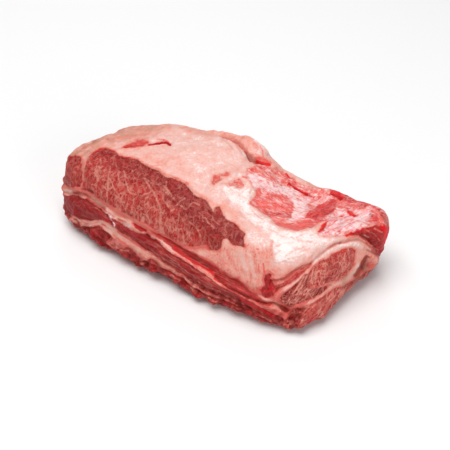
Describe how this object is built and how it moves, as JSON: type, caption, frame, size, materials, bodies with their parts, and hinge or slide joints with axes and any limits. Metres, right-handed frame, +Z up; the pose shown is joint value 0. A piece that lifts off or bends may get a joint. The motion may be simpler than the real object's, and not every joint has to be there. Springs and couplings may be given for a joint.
{
  "type": "raw beef chuck roll",
  "caption": "Boneless raw beef shoulder roll: a rounded block with a fat cap, long marbled muscle, deep seams and a squared end.",
  "frame": {"origin": "on the surface the roll lies on, under the middle of its bounding box", "axes": "+X along the roll towards its squared near end, -Y towards the long cut face, +Z up through the fat cap"},
  "size_m": [0.432, 0.2354, 0.1313],
  "materials": {
    "meat": "moist raw meat and fat, soft gloss, pale fat over marbled red muscle"
  },
  "bodies": {
    "root": {"chuck_roll": "meat"}
  },
  "joints": []
}
